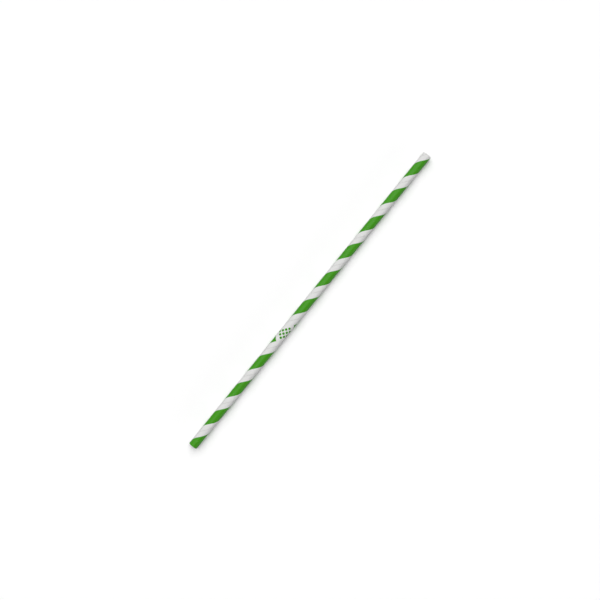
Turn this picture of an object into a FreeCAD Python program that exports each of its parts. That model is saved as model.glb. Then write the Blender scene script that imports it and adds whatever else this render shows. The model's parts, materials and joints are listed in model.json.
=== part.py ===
"""A spiral-wound paper drinking straw, lying on its side along X.

Three paper ribbons are wound as right-handed helices round a rod, each layer glued on the one
below, and the tube is cut square to length. It is one glued piece. Each ribbon butts against its
own next turn with a hairline gap. The outer ribbon's gap shows as a fine helical groove round the
outside, and the inner ribbon's as one along the bore, each one paper thickness deep.

Lengths are in millimetres and angles in degrees. The tube is drawn about the Z axis of its own
body, from z = 0 upwards, and then laid down: its start is at -X, and its underside touches z = 0.
"""
import os

import FreeCAD, Part
import Sketcher

SIZES = {
    "straw_length": 200,
    "outer_diameter": 5,
    "ply_thickness": 0.14,
    "ply_count": 3,
    "rim_easing": 0.05,
    "winding_lead": 18.9,
    "seam_gap": 0.2,
    "outer_seam_angle": 327,
    "ply_stagger_angle": 120,
    "cutter_overrun": 0.1,
}

WALL = "sizes.ply_count * sizes.ply_thickness"

doc = FreeCAD.newDocument("paper_drinking_straw")


def make_size_sheet():
    """One row a size: its name, its number, and the name again as the number's alias."""
    sheet = doc.addObject("Spreadsheet::Sheet", "sizes")
    for row, (name, value) in enumerate(SIZES.items(), start=1):
        sheet.set(f"A{row}", name)
        sheet.set(f"B{row}", str(value))
        sheet.setAlias(f"B{row}", name)
    doc.recompute()


def origin_feature(body, role):
    """The body's own origin plane or axis with that role."""
    return next(feature for feature in body.Origin.OriginFeatures if feature.Role == role)


def new_sketch(body, name, plane_role):
    sketch = body.newObject("Sketcher::SketchObject", name)
    sketch.AttachmentSupport = [(origin_feature(body, plane_role), "")]
    sketch.MapMode = "FlatFace"
    return sketch


def bind_size(sketch, name, constraint, formula):
    """Adds a dimension to the sketch and ties it to the sheet."""
    index = sketch.addConstraint(constraint)
    sketch.renameConstraint(index, name)
    sketch.setExpression(f"Constraints.{name}", formula)


def draw_tube_section(body):
    """Two circles about the axis: the outside, and the bore inside all the plies."""
    sketch = new_sketch(body, "tube_section", "XY_Plane")
    diameters = (
        ("outside", "sizes.outer_diameter"),
        ("bore", f"sizes.outer_diameter - 2 * {WALL}"),
    )
    for circle, (name, formula) in enumerate(diameters):
        sketch.addGeometry(Part.Circle(), False)
        sketch.addConstraint(Sketcher.Constraint("Coincident", circle, 3, -1, 1))
        bind_size(sketch, name, Sketcher.Constraint("Diameter", circle, 1), formula)
    return sketch


def make_tube(body):
    """The plain tube, with the rims of both cut ends slightly eased, inside and out."""
    section = draw_tube_section(body)
    tube = body.newObject("PartDesign::Pad", "wound_tube")
    tube.Profile = section
    tube.setExpression("Length", "sizes.straw_length")
    doc.recompute()

    rims = [
        f"Edge{number}"
        for number, edge in enumerate(tube.Shape.Edges, start=1)
        if isinstance(edge.Curve, Part.Circle)
    ]
    easing = body.newObject("PartDesign::Chamfer", "eased_rims")
    easing.Base = (tube, rims)
    easing.setExpression("Size", "sizes.rim_easing")
    doc.recompute()


def draw_seam_section(body, name, inner_radius, radial_depth, angle):
    """The gap's rectangle, in the plane through the axis at that angle, one turn below the tube."""
    sketch = new_sketch(body, name, "XZ_Plane")
    up_the_straw = FreeCAD.Vector(0, 1, 0)
    sketch.AttachmentOffset = FreeCAD.Placement(
        FreeCAD.Vector(), FreeCAD.Rotation(up_the_straw, 0)
    )
    sketch.setExpression("AttachmentOffset.Rotation.Angle", angle)

    corners = [FreeCAD.Vector(*corner) for corner in ((1, -2), (2, -2), (2, -1), (1, -1))]
    for side, corner in enumerate(corners):
        sketch.addGeometry(Part.LineSegment(corner, corners[(side + 1) % 4]), False)
    bottom, outer, top, inner = range(4)
    for side in range(4):
        sketch.addConstraint(Sketcher.Constraint("Coincident", side, 2, (side + 1) % 4, 1))
    for side in (bottom, top):
        sketch.addConstraint(Sketcher.Constraint("Horizontal", side))
    for side in (outer, inner):
        sketch.addConstraint(Sketcher.Constraint("Vertical", side))

    sizes = (
        ("inner_radius", Sketcher.Constraint("DistanceX", -1, 1, bottom, 1, 1), inner_radius),
        ("radial_depth", Sketcher.Constraint("DistanceX", bottom, 1, bottom, 2, 1), radial_depth),
        ("gap", Sketcher.Constraint("DistanceY", outer, 1, outer, 2, 1), "sizes.seam_gap"),
        ("below_start", Sketcher.Constraint("DistanceY", bottom, 1, -1, 1, 2), "sizes.winding_lead"),
    )
    for size_name, constraint, formula in sizes:
        bind_size(sketch, size_name, constraint, formula)
    return sketch


def cut_seam(body, name, inner_radius, radial_depth, angle):
    """Winds the gap's rectangle along the straw, right-handed, from a turn below to a turn above."""
    uncut_volume = body.Shape.Volume
    section = draw_seam_section(body, f"{name}_section", inner_radius, radial_depth, angle)
    seam = body.newObject("PartDesign::SubtractiveHelix", name)
    seam.Profile = section
    seam.ReferenceAxis = (origin_feature(body, "Z_Axis"), [""])
    seam.Mode = "pitch-height-angle"
    seam.setExpression("Pitch", "sizes.winding_lead")
    seam.setExpression("Height", "sizes.straw_length + 2 * sizes.winding_lead")
    doc.recompute()
    if body.Shape.Volume >= uncut_volume:
        raise ValueError(f"{name} removes nothing")
    print(name, "removes", round(uncut_volume - body.Shape.Volume, 3), "mm3")


def make_straw():
    body = doc.addObject("PartDesign::Body", "paper_straw")
    body.Label = "paper_straw"
    make_tube(body)
    cut_seam(
        body,
        "outer_seam",
        "sizes.outer_diameter / 2 - sizes.ply_thickness",
        "sizes.ply_thickness + sizes.cutter_overrun",
        "sizes.outer_seam_angle",
    )
    cut_seam(
        body,
        "inner_seam",
        f"sizes.outer_diameter / 2 - {WALL} - sizes.cutter_overrun",
        "sizes.cutter_overrun + sizes.ply_thickness",
        "sizes.outer_seam_angle + (sizes.ply_count - 1) * sizes.ply_stagger_angle",
    )
    return body


def lay_down(body):
    """Turns the straw's own Z to +X, centres its length and sets its underside on z = 0."""
    across = FreeCAD.Vector(0, 1, 0)
    body.Placement = FreeCAD.Placement(FreeCAD.Vector(), FreeCAD.Rotation(across, 90))
    body.setExpression("Placement.Base.x", "-sizes.straw_length / 2")
    body.setExpression("Placement.Base.z", "sizes.outer_diameter / 2")
    doc.recompute()


def check_document():
    for item in doc.Objects:
        if "Invalid" in item.State or "Error" in item.State:
            raise ValueError(f"{item.Label} failed: {item.State}")


def export(body):
    """Writes the finished piece to parts/, after a check of its shape."""
    shape = body.Shape
    if shape.isNull() or not shape.isValid() or len(shape.Solids) != 1:
        raise ValueError(f"{body.Label} isn't one valid solid")
    os.makedirs("parts", exist_ok=True)
    shape.exportStep(f"parts/{body.Label}.step")
    print(body.Label, "volume", round(shape.Volume, 3), "mm3")


make_size_sheet()
straw = make_straw()
lay_down(straw)
check_document()
export(straw)
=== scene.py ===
"""The looks of a spiral-wound paper drinking straw with a green helical stripe.

The straw lies along X, with its axis one radius above the floor. Lengths are in metres and angles
in radians. A place on the wall has a distance along the straw and an angle round its axis: the
mesh counts that angle from the underside towards +Y, and the print counts it from the top line
towards -Y. Both grow along a right-handed winding as X grows.
"""

import json
import math

import bmesh
import bpy
from mathutils import Matrix, Vector


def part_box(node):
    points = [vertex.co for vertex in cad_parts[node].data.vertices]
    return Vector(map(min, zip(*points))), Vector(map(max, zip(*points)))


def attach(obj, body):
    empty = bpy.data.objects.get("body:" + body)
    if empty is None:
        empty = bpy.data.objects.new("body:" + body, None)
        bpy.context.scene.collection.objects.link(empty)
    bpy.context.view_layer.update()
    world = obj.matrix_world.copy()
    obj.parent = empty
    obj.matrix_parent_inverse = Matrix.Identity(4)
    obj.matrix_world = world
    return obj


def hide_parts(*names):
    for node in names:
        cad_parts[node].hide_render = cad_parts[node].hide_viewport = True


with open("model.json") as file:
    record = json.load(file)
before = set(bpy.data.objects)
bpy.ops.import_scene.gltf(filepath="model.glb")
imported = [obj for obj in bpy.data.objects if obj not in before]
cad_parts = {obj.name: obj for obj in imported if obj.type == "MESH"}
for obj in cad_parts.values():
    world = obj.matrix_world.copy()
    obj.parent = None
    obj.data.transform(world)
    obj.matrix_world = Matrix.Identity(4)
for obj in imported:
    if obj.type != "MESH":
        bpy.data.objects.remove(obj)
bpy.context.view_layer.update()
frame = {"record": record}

MM = 0.001
NODE = "paper_straw"


def mount_radius(name):
    """The radius of one of the straw's round mounts."""
    mount = next(mount for mount in frame["record"]["mounts"] if mount["name"] == name)
    return mount["dims"]["r_mm"] * MM


# The tube
LOW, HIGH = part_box(NODE)
LENGTH = HIGH.x - LOW.x
OUTER_RADIUS = mount_radius("outside")
BORE_RADIUS = mount_radius("bore")
PLY_COUNT = 3
PLY = (OUTER_RADIUS - BORE_RADIUS) / PLY_COUNT
MIDDLE_RADIUS = (OUTER_RADIUS + BORE_RADIUS) / 2
RIM_EASING = 0.05 * MM

# The winding
LEAD = 18.9 * MM
SEAM_GAP = 0.2 * MM
OUTER_SEAM_ANGLE = math.radians(327)
PLY_STAGGER = math.radians(120)
RIBBON_ANGLE = math.atan2(math.tau * OUTER_RADIUS, LEAD)

# The surface mesh
COLUMNS_A_TURN = 96
ROW_SPACING = 1.5 * MM
OVERRUN_TURNS = 0.1
CUT_TOLERANCE = 0.001 * MM
WORN_EDGE = 0.03 * MM
DENT_DEPTH = 0.012 * MM
DENT_HALF_WIDTH = 0.4 * MM
SHARP_ANGLE = math.radians(30)

# The unrolled map of the surface, with the two cut ends' centres in end radii from its left edge
MAP_NAME = "OFBake"
STRIP_COUNT = 3
STRIP_GAP = 0.6 * MM
BORE_SHARE = 0.5
RIM_SPREAD = 0.1 * MM
END_DEPTH = 1.5 * RIM_EASING
END_MAP_RADIUS = OUTER_RADIUS + RIM_SPREAD
END_CENTRES = {-1: 1.5, 1: 4.5}

# The print
STRIPE_WIDTH = 10 * MM
FIRST_STRIPE = 1.7 * MM
PANEL_STRIPE = 4
PANEL_LENGTH = 11 * MM
PANEL_OFFSET = 1 * MM
DOT_SPACING = 1.85 * MM
DOT_RADIUS = 0.7 * MM
DOT_COLUMNS = 4
DOT_ROWS = 3
INK_EDGE = 0.06 * MM
INK_WOBBLE_SIZE = 0.5 * MM
INK_GREEN = (0.046, 0.276, 0.004)
INK_SHADE = (0.040, 0.252, 0.003)
INK_ROUGHNESS = 0.34
PALE_FIBRE_SIZE = 0.11 * MM
PALE_FIBRE_RANGE = (0.66, 0.76)
PALE_FIBRE_STRENGTH = 0.25

# The paper
PAPER_WHITE = (0.71, 0.71, 0.705)
PAPER_SHADE = (0.69, 0.69, 0.68)
PAPER_ROUGHNESS = 0.75
BARE_ROUGHNESS = 0.7
SPECULAR_LEVEL = 0.15
FIBRE_SIZE = 0.12 * MM
FIBRE_DETAIL = 4
FIBRE_STRETCH = 10
FIBRE_HEIGHT = 0.008 * MM
COCKLE_SIZE = 2 * MM
COCKLE_HEIGHT = 0.04 * MM
CLOUD_SIZE = 1.5 * MM
CLOUD_DETAIL = 3
MOTTLE_RANGE = (0.25, 0.75)

# The glue lines on the cut ends, which fade in over shares of a ply from their middles
GLUE_COLOUR = (0.5, 0.49, 0.46)
GLUE_FADE = (0.1, 0.03)

# The light and the floor
KEY_SIZE = 21
KEY_DISTANCE = 15
KEY_TILT = math.radians(26)
KEY_AZIMUTH = math.radians(52)
KEY_RADIANCE = 2.77
CARD_WIDTH = 24
CARD_HEIGHT = 3.5
CARD_DISTANCE = 12
CARD_TILT = math.radians(81)
CARD_AZIMUTH = math.radians(-100)
CARD_RADIANCE = 1.8
FILL = 0.035
FLOOR_BOUNCE = 0.45
FLOOR_HALF_SIZE = 3
PLAIN_WHITE_FROM = 0.15
PLAIN_WHITE_BEYOND = 0.45

# The photograph's frame and the straw's two ends in it, in pixels from its top left corner
PHOTO_SIZE = 600
PHOTO_CENTRE = Vector((299.5, 299.5))
START_PIXEL = Vector((192.5, 445.3))
END_PIXEL = Vector((426.4, 154.7))
LENS_MM = 50
SENSOR_MM = 36


class Nodes:
    """Short calls that add shader nodes to a tree and join them up."""

    def __init__(self, tree):
        self.tree = tree

    def add(self, kind, inputs=(), **settings):
        """Adds a node, with its inputs set or linked by name or number."""
        node = self.tree.nodes.new(kind)
        for name, value in settings.items():
            setattr(node, name, value)
        for socket, value in dict(inputs).items():
            self.join(value, node.inputs[socket])
        return node

    def join(self, value, socket):
        if isinstance(value, bpy.types.NodeSocket):
            self.tree.links.new(value, socket)
        else:
            socket.default_value = value

    def math(self, operation, *values, **settings):
        node = self.add("ShaderNodeMath", enumerate(values), operation=operation, **settings)
        return node.outputs["Value"]

    def absolute(self, value):
        return self.math("ABSOLUTE", value)

    def length(self, *sides):
        """The length of the vector with those two sides."""
        squares = [self.math("POWER", self.absolute(side), 2) for side in sides]
        return self.math("SQRT", self.math("ADD", *squares))

    def mix(self, share, *colours):
        """The first colour where the share is 0, and the second where it is 1."""
        first, second = ((*colour, 1) if isinstance(colour, tuple) else colour for colour in colours)
        inputs = {0: share, 6: first, 7: second}
        return self.add("ShaderNodeMix", inputs, data_type="RGBA").outputs[2]

    def ramp(self, value, start, end):
        """Goes smoothly from 0 to 1 as the value goes from start to end."""
        inputs = {"Value": value, "From Min": start, "From Max": end}
        return self.add("ShaderNodeMapRange", inputs, interpolation_type="SMOOTHSTEP").outputs[0]

    def noise(self, place, feature_size, detail=2.0):
        inputs = {"Vector": place, "Scale": 1 / feature_size, "Detail": detail}
        return self.add("ShaderNodeTexNoise", inputs).outputs[0]


def new_material(name):
    material = bpy.data.materials.new(name)
    material.use_nodes = True
    return material, Nodes(material.node_tree), material.node_tree.nodes["Principled BSDF"]


def place_on_straw(nodes):
    """The place on the straw, and its X, its Y and its height from the axis."""
    place = nodes.add("ShaderNodeTexCoord").outputs["Object"]
    parts = nodes.add("ShaderNodeSeparateXYZ", {"Vector": place}).outputs
    return place, parts["X"], parts["Y"], nodes.math("SUBTRACT", parts["Z"], OUTER_RADIUS)


def along_ribbon(nodes, place):
    """The place unwound about the axis and drawn out, so that fibres lie along the ribbon."""
    distance = nodes.add("ShaderNodeSeparateXYZ", {"Vector": place}).outputs["X"]
    unwinding = nodes.math("MULTIPLY", distance, -math.tau / LEAD)
    inputs = {"Vector": place, "Center": (0, 0, OUTER_RADIUS), "Angle": unwinding}
    unwound = nodes.add("ShaderNodeVectorRotate", inputs, rotation_type="X_AXIS").outputs["Vector"]
    inputs = {0: unwound, 1: (1 / FIBRE_STRETCH, 1, 1)}
    return nodes.add("ShaderNodeVectorMath", inputs, operation="MULTIPLY").outputs["Vector"]


def paper_surface(nodes, shader, place):
    """Paper's fine fibres and its slight cockle, as bump, and its faint mottle, from 0 to 1."""
    ribbon_place = along_ribbon(nodes, place)
    fibres = nodes.noise(ribbon_place, FIBRE_SIZE, FIBRE_DETAIL)
    cockle = nodes.noise(ribbon_place, COCKLE_SIZE)
    heights = [
        nodes.math("MULTIPLY", fibres, FIBRE_HEIGHT / MM),
        nodes.math("MULTIPLY", cockle, COCKLE_HEIGHT / MM),
    ]
    bump = nodes.add("ShaderNodeBump", {"Height": nodes.math("ADD", *heights), "Distance": MM})
    nodes.join(bump.outputs["Normal"], shader.inputs["Normal"])
    shader.inputs["Specular IOR Level"].default_value = SPECULAR_LEVEL

    clouds = nodes.noise(place, CLOUD_SIZE, CLOUD_DETAIL)
    shades = [nodes.ramp(noise, *MOTTLE_RANGE) for noise in (fibres, clouds)]
    return nodes.math("MULTIPLY", nodes.math("ADD", *shades), 0.5)


def bare_paper():
    """Unprinted paper, on the bore, the seams' walls and the cut ends, where the glue lines show.

    The place in the wall is counted in plies from the bore. The two glue lines lie as far from the
    wall's middle as each other, one ply inside its two faces.
    """
    material, nodes, shader = new_material("bare_paper")
    place, _, side, height = place_on_straw(nodes)
    mottle = paper_surface(nodes, shader, place)
    paper = nodes.mix(mottle, PAPER_SHADE, PAPER_WHITE)

    depth = nodes.math("SUBTRACT", nodes.length(side, height), BORE_RADIUS)
    plies = nodes.math("DIVIDE", depth, PLY)
    from_middle = nodes.absolute(nodes.math("SUBTRACT", plies, PLY_COUNT / 2))
    from_line = nodes.absolute(nodes.math("SUBTRACT", from_middle, PLY_COUNT / 2 - 1))
    glue = nodes.ramp(from_line, *GLUE_FADE)
    nodes.join(nodes.mix(glue, paper, GLUE_COLOUR), shader.inputs["Base Color"])
    shader.inputs["Roughness"].default_value = BARE_ROUGHNESS
    return material


def printed_paper():
    """The outer ribbon: white paper with a green stripe and a dotted panel."""
    material, nodes, shader = new_material("printed_paper")
    place, distance, side, height = place_on_straw(nodes)
    along = nodes.math("ADD", distance, LENGTH / 2 - FIRST_STRIPE)
    angle = nodes.math("ARCTAN2", nodes.math("MULTIPLY", side, -1), height)
    ink = ink_cover(nodes, place, along, angle)

    mottle = paper_surface(nodes, shader, place)
    paper = nodes.mix(mottle, PAPER_SHADE, PAPER_WHITE)
    green = nodes.mix(mottle, INK_SHADE, INK_GREEN)
    nodes.join(nodes.mix(ink, paper, green), shader.inputs["Base Color"])
    inputs = {"Value": ink, "To Min": PAPER_ROUGHNESS, "To Max": INK_ROUGHNESS}
    roughness = nodes.add("ShaderNodeMapRange", inputs).outputs[0]
    nodes.join(roughness, shader.inputs["Roughness"])
    return material


def ink_cover(nodes, place, along, angle):
    """How well ink covers the paper, from 0 to 1: less where a pale fibre shows through it."""
    unevenness = nodes.math("SUBTRACT", nodes.noise(place, INK_WOBBLE_SIZE), 0.5)
    wobble = nodes.math("MULTIPLY", unevenness, 2 * INK_EDGE)
    stripe = helical_stripe(nodes, along, angle, wobble)
    panel, dots = dotted_panel(nodes, along, angle, wobble)
    outside_panel = nodes.math("SUBTRACT", 1, panel)
    ink = nodes.math("MAXIMUM", nodes.math("MULTIPLY", stripe, outside_panel), dots)

    fibres = nodes.noise(along_ribbon(nodes, place), PALE_FIBRE_SIZE)
    pale = nodes.ramp(fibres, *PALE_FIBRE_RANGE)
    covered = nodes.math("SUBTRACT", 1, nodes.math("MULTIPLY", pale, PALE_FIBRE_STRENGTH))
    return nodes.math("MULTIPLY", ink, covered)


def within(nodes, distance, limit):
    """1 where the distance is under the limit and 0 past it, with the soft edge of ink between."""
    return nodes.ramp(distance, limit + INK_EDGE / 2, limit - INK_EDGE / 2)


def helical_stripe(nodes, along, angle, wobble):
    """The stripe, which moves on by one lead in each turn round the straw."""
    leads = nodes.math("DIVIDE", along, LEAD)
    turns = nodes.math("SUBTRACT", leads, nodes.math("DIVIDE", angle, math.tau))
    share = nodes.math("SUBTRACT", nodes.math("FRACT", nodes.math("ADD", turns, 0.5)), 0.5)
    from_middle = nodes.math("MULTIPLY", nodes.absolute(share), LEAD)
    return within(nodes, nodes.math("ADD", from_middle, wobble), STRIPE_WIDTH / 2)


def dotted_panel(nodes, along, angle, wobble):
    """A break in one turn of the stripe, square to the ribbon, and the plain dots in it."""
    from_stripe = nodes.math("SUBTRACT", along, PANEL_STRIPE * LEAD)
    around = nodes.math("MULTIPLY", angle, OUTER_RADIUS)
    cosine, sine = math.cos(RIBBON_ANGLE), math.sin(RIBBON_ANGLE)
    lengthwise = nodes.math(
        "ADD", nodes.math("MULTIPLY", from_stripe, cosine), nodes.math("MULTIPLY", around, sine)
    )
    across = nodes.math(
        "SUBTRACT", nodes.math("MULTIPLY", from_stripe, sine), nodes.math("MULTIPLY", around, cosine)
    )
    lengthwise = nodes.math("SUBTRACT", lengthwise, PANEL_OFFSET)
    from_middle = nodes.math("ADD", nodes.absolute(lengthwise), wobble)
    inside_length = within(nodes, from_middle, PANEL_LENGTH / 2)
    inside_width = nodes.math("LESS_THAN", nodes.absolute(across), STRIPE_WIDTH / 2)
    panel = nodes.math("MULTIPLY", inside_length, inside_width)

    offsets = []
    inside_field = []
    for distance, count in ((lengthwise, DOT_COLUMNS), (across, DOT_ROWS)):
        cell = nodes.math("ADD", nodes.math("DIVIDE", distance, DOT_SPACING), count / 2)
        offsets.append(nodes.math("SUBTRACT", nodes.math("FRACT", cell), 0.5))
        half_field = count / 2 * DOT_SPACING
        inside_field.append(nodes.math("LESS_THAN", nodes.absolute(distance), half_field))
    from_centre = nodes.math("MULTIPLY", nodes.length(*offsets), DOT_SPACING)
    dot = within(nodes, nodes.math("ADD", from_centre, wobble), DOT_RADIUS)
    dots = nodes.math("MULTIPLY", dot, nodes.math("MULTIPLY", *inside_field))
    return panel, dots


def ribbon_profile(face_radius, groove_radius, dents):
    """The (share of a turn, radius) points across one ribbon, from the middle of its seam."""
    half_gap = SEAM_GAP / 2 / LEAD
    inwards = math.copysign(1, groove_radius - face_radius)
    worn_radius = face_radius + inwards * WORN_EDGE / 2
    start = [(0, groove_radius), (half_gap, groove_radius), (half_gap, worn_radius)]

    depths = {half_gap + WORN_EDGE / LEAD: 0}
    steps = round(LEAD / ROW_SPACING)
    for step in range(1, steps):
        depths[step / steps] = 0
    for dent in dents:
        for place in (-1, -0.5, 0, 0.5, 1):
            share = dent + place * DENT_HALF_WIDTH / LEAD
            depths[share] = DENT_DEPTH * (1 + math.cos(math.pi * place)) / 2
    depths[1 - half_gap - WORN_EDGE / LEAD] = 0
    face = [(share, face_radius + inwards * depths[share]) for share in sorted(depths)]

    end = [(1 - share, radius) for share, radius in reversed(start[1:])]
    return start + face + end


def running_lengths(profile):
    """How far across the ribbon each profile point lies, and last the start of the next turn."""
    lengths = [0]
    next_turn = (1, profile[0][1])
    for (share_a, radius_a), (share_b, radius_b) in zip(profile, profile[1:] + [next_turn]):
        step = math.hypot((share_b - share_a) * LEAD, radius_b - radius_a)
        lengths.append(lengths[-1] + step)
    return lengths


def wind_ribbon(mesh, unrolled, profile, seam_angle):
    """Winds the profile into a helical skin that runs past both ends of the straw.

    The map gets each corner's distance along the unrolled skin, and its share of the way round.
    """
    seam_turns = seam_angle / math.tau
    first = math.floor(COLUMNS_A_TURN * (seam_turns - 1 - OVERRUN_TURNS))
    last = math.ceil(COLUMNS_A_TURN * (LENGTH / LEAD + seam_turns + OVERRUN_TURNS))
    grid = {}
    for column in range(first, last + COLUMNS_A_TURN + 1):
        angle = math.tau * column / COLUMNS_A_TURN
        turns = (angle - seam_angle) / math.tau
        for row, (share, radius) in enumerate(profile):
            x = LEAD * (turns + share) - LENGTH / 2
            y = radius * math.sin(angle)
            z = OUTER_RADIUS - radius * math.cos(angle)
            grid[column, row] = mesh.verts.new((x, y, z))

    rows = len(profile)
    lengths = running_lengths(profile)

    def vertex(column, row):
        """The row past the last is the first row of the next turn."""
        return grid[column + row // rows * COLUMNS_A_TURN, row % rows]

    for column in range(first, last):
        for row in range(rows):
            corners = ((column, row), (column + 1, row), (column + 1, row + 1), (column, row + 1))
            face = mesh.faces.new([vertex(*corner) for corner in corners])
            for loop, (corner_column, corner_row) in zip(face.loops, corners):
                turns = corner_column / COLUMNS_A_TURN - seam_turns
                around = (column % COLUMNS_A_TURN + corner_column - column) / COLUMNS_A_TURN
                loop[unrolled].uv = (turns * lengths[-1] + lengths[corner_row], around)
    loose = [point for point in mesh.verts if not point.link_faces]
    bmesh.ops.delete(mesh, geom=loose, context="VERTS")


def axis_radius(point):
    return math.hypot(point.y, point.z - OUTER_RADIUS)


def finish_end(mesh, side):
    """Cuts both skins square near the end at that side, eases the rims and closes the wall."""
    cut = bmesh.ops.bisect_plane(
        mesh,
        geom=mesh.verts[:] + mesh.edges[:] + mesh.faces[:],
        dist=CUT_TOLERANCE,
        plane_co=(side * (LENGTH / 2 - RIM_EASING), 0, 0),
        plane_no=(side, 0, 0),
        clear_outer=True,
    )
    rim = [item for item in cut["geom_cut"] if isinstance(item, bmesh.types.BMEdge)]
    eased = bmesh.ops.extrude_edge_only(mesh, edges=rim)["geom"]
    for point in (item for item in eased if isinstance(item, bmesh.types.BMVert)):
        radius = axis_radius(point.co)
        if radius > MIDDLE_RADIUS:
            eased_radius = min(radius, OUTER_RADIUS - RIM_EASING)
        else:
            eased_radius = max(radius, BORE_RADIUS + RIM_EASING)
        point.co.x = side * LENGTH / 2
        point.co.y *= eased_radius / radius
        point.co.z = OUTER_RADIUS + (point.co.z - OUTER_RADIUS) * eased_radius / radius
    loops = [item for item in eased if isinstance(item, bmesh.types.BMEdge)]
    bmesh.ops.triangle_fill(mesh, edges=loops, use_beauty=True, normal=(side, 0, 0))


def map_end_face(face, unrolled, outside, level):
    """Lays a face of a cut end out as it is seen from that end, with the eased rims widened."""
    spread = RIM_SPREAD if outside else -RIM_SPREAD
    side = math.copysign(1, face.verts[0].co.x)
    centre = Vector((END_CENTRES[side] * END_MAP_RADIUS, level))
    for loop in face.loops:
        corner = loop.vert.co
        across = Vector((side * corner.y, corner.z - OUTER_RADIUS))
        eased_share = (LENGTH / 2 - abs(corner.x)) / RIM_EASING
        across.length += eased_share * spread
        loop[unrolled].uv = centre + across


def map_strip_face(face, unrolled, strip_length, height, lowest):
    """Lays a face of an unrolled skin in the strip that its middle belongs to."""
    distance = sum(loop[unrolled].uv.x for loop in face.loops) / len(face.loops)
    strip = min(max(int(distance / strip_length), 0), STRIP_COUNT - 1)
    start = ROW_SPACING - strip * strip_length
    level = lowest + strip * (height + STRIP_GAP)
    for loop in face.loops:
        along, around = loop[unrolled].uv
        loop[unrolled].uv = (start + along, level + around * height)


def lay_out_map(mesh, unrolled):
    """Lays the outside's strips, the bore's narrower ones and the two ends on one square.

    Before it, the map holds each corner's distance along the unrolled skin and its share of the
    way round.
    """
    outside_height = math.tau * OUTER_RADIUS
    bore_height = math.tau * BORE_RADIUS * BORE_SHARE
    lowest_bore = STRIP_GAP + STRIP_COUNT * (outside_height + STRIP_GAP)
    end_level = lowest_bore + STRIP_COUNT * (bore_height + STRIP_GAP) + END_MAP_RADIUS
    longest = max(loop[unrolled].uv.x for face in mesh.faces for loop in face.loops)
    strip_length = longest / STRIP_COUNT
    width = strip_length + 2 * ROW_SPACING
    height = end_level + END_MAP_RADIUS + STRIP_GAP

    for face in mesh.faces:
        outside = axis_radius(face.calc_center_median()) > MIDDLE_RADIUS
        inset = max(LENGTH / 2 - abs(corner.co.x) for corner in face.verts)
        if inset < END_DEPTH:
            map_end_face(face, unrolled, outside, end_level)
        elif outside:
            map_strip_face(face, unrolled, strip_length, outside_height, STRIP_GAP)
        else:
            map_strip_face(face, unrolled, strip_length, bore_height, lowest_bore)
        for loop in face.loops:
            place = loop[unrolled].uv
            loop[unrolled].uv = (place.x / width, place.y / height)


def make_straw():
    mesh = bmesh.new()
    unrolled = mesh.loops.layers.uv.new(MAP_NAME)
    middle_seam = 1 - 1 / PLY_COUNT
    wind_ribbon(
        mesh,
        unrolled,
        ribbon_profile(OUTER_RADIUS, OUTER_RADIUS - PLY, [middle_seam]),
        OUTER_SEAM_ANGLE,
    )
    wind_ribbon(
        mesh,
        unrolled,
        ribbon_profile(BORE_RADIUS, BORE_RADIUS + PLY, []),
        OUTER_SEAM_ANGLE + (PLY_COUNT - 1) * PLY_STAGGER,
    )
    for side in (-1, 1):
        finish_end(mesh, side)
    lay_out_map(mesh, unrolled)
    bmesh.ops.recalc_face_normals(mesh, faces=mesh.faces)
    printed, bare = range(2)
    for face in mesh.faces:
        on_face = axis_radius(face.calc_center_median()) > OUTER_RADIUS - WORN_EDGE / 2
        face.material_index = printed if on_face else bare

    data = bpy.data.meshes.new("printed_straw")
    mesh.to_mesh(data)
    mesh.free()
    data.shade_smooth()
    data.set_sharp_from_angle(angle=SHARP_ANGLE)
    data.materials.append(printed_paper())
    data.materials.append(bare_paper())
    straw = bpy.data.objects.new("printed_straw", data)
    bpy.context.scene.collection.objects.link(straw)
    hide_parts(NODE)
    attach(straw, "root")


def seen_directly(nodes):
    """1 for camera, glossy and transmission rays, and 0 for rays that carry diffuse light."""
    path = nodes.add("ShaderNodeLightPath").outputs
    seen = nodes.math("ADD", path["Is Camera Ray"], path["Is Glossy Ray"])
    return nodes.math("ADD", seen, path["Is Transmission Ray"], use_clamp=True)


def white_floor():
    """Matt white that holds the shadow, and fades into plain white away from the straw."""
    material, nodes, shader = new_material("white_floor")
    nodes.tree.nodes.remove(shader)
    seen = seen_directly(nodes)
    colour = nodes.mix(seen, (FLOOR_BOUNCE,) * 3, (1, 1, 1))
    matt = nodes.add("ShaderNodeBsdfDiffuse", {"Color": colour}).outputs["BSDF"]
    plain_white = nodes.add("ShaderNodeEmission").outputs["Emission"]
    place = nodes.add("ShaderNodeNewGeometry").outputs["Position"]
    distance = nodes.add("ShaderNodeVectorMath", {0: place}, operation="LENGTH").outputs["Value"]
    far = nodes.ramp(distance, PLAIN_WHITE_FROM, PLAIN_WHITE_BEYOND)
    share = nodes.math("MULTIPLY", far, seen)
    surface = nodes.add("ShaderNodeMixShader", {0: share, 1: matt, 2: plain_white})
    nodes.join(surface.outputs["Shader"], nodes.tree.nodes["Material Output"].inputs["Surface"])
    return material


def make_floor():
    data = bpy.data.meshes.new("floor")
    side = FLOOR_HALF_SIZE
    data.from_pydata(
        [(-side, -side, 0), (side, -side, 0), (side, side, 0), (-side, side, 0)], [], [(0, 1, 2, 3)]
    )
    data.materials.append(white_floor())
    floor = bpy.data.objects.new("floor", data)
    bpy.context.scene.collection.objects.link(floor)


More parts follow.
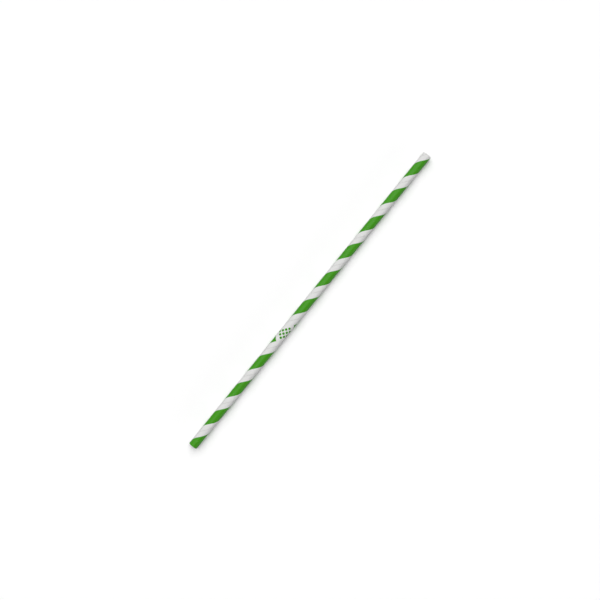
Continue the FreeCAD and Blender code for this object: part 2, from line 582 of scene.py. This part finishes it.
def add_lamp(name, width, height, distance, tilt, azimuth, radiance):
    """A flat lamp that faces the straw, tilted from straight above towards the azimuth."""
    light = bpy.data.lights.new(name, "AREA")
    light.shape = "RECTANGLE"
    light.size = width
    light.size_y = height
    light.energy = radiance * math.pi * width * height
    lamp = bpy.data.objects.new(name, light)
    towards = Vector((
        math.sin(tilt) * math.cos(azimuth), math.sin(tilt) * math.sin(azimuth), math.cos(tilt)
    ))
    lamp.location = distance * towards
    lamp.rotation_euler = towards.to_track_quat("Z", "Y").to_euler()
    lamp.visible_camera = False
    bpy.context.scene.collection.objects.link(lamp)


def set_up_light():
    """A broad soft lamp on the side of +Y, a low white card opposite it and an even faint fill."""
    add_lamp("softbox", KEY_SIZE, KEY_SIZE, KEY_DISTANCE, KEY_TILT, KEY_AZIMUTH, KEY_RADIANCE)
    add_lamp(
        "white_card", CARD_WIDTH, CARD_HEIGHT, CARD_DISTANCE, CARD_TILT, CARD_AZIMUTH, CARD_RADIANCE
    )

    world = bpy.data.worlds.new("white_room")
    world.use_nodes = True
    nodes = Nodes(world.node_tree)
    strength = nodes.add(
        "ShaderNodeMapRange", {"Value": seen_directly(nodes), "To Min": FILL, "To Max": 1}
    )
    background = world.node_tree.nodes["Background"]
    background.inputs["Color"].default_value = (1, 1, 1, 1)
    nodes.join(strength.outputs["Result"], background.inputs["Strength"])
    bpy.context.scene.world = world


def set_up_camera():
    """Looks straight down, so that the straw's two ends fall on their pixels in the photograph."""
    camera = bpy.data.cameras.new("camera")
    camera.lens = LENS_MM
    camera.sensor_width = SENSOR_MM
    view = bpy.data.objects.new("camera", camera)

    along = END_PIXEL - START_PIXEL
    pixels_a_metre = along.length / LENGTH
    turn = math.atan2(along.y, along.x)
    middle = (START_PIXEL + END_PIXEL) / 2 - PHOTO_CENTRE
    in_view = Vector((middle.x, -middle.y)) / pixels_a_metre
    place = -(Matrix.Rotation(turn, 2) @ in_view)
    height = LENS_MM / SENSOR_MM * PHOTO_SIZE / pixels_a_metre
    view.location = (place.x, place.y, OUTER_RADIUS + height)
    view.rotation_euler = (0, 0, turn)
    bpy.context.scene.collection.objects.link(view)
    bpy.context.scene.camera = view


make_straw()
make_floor()
set_up_light()
set_up_camera()
bpy.context.scene.view_settings.view_transform = "Standard"
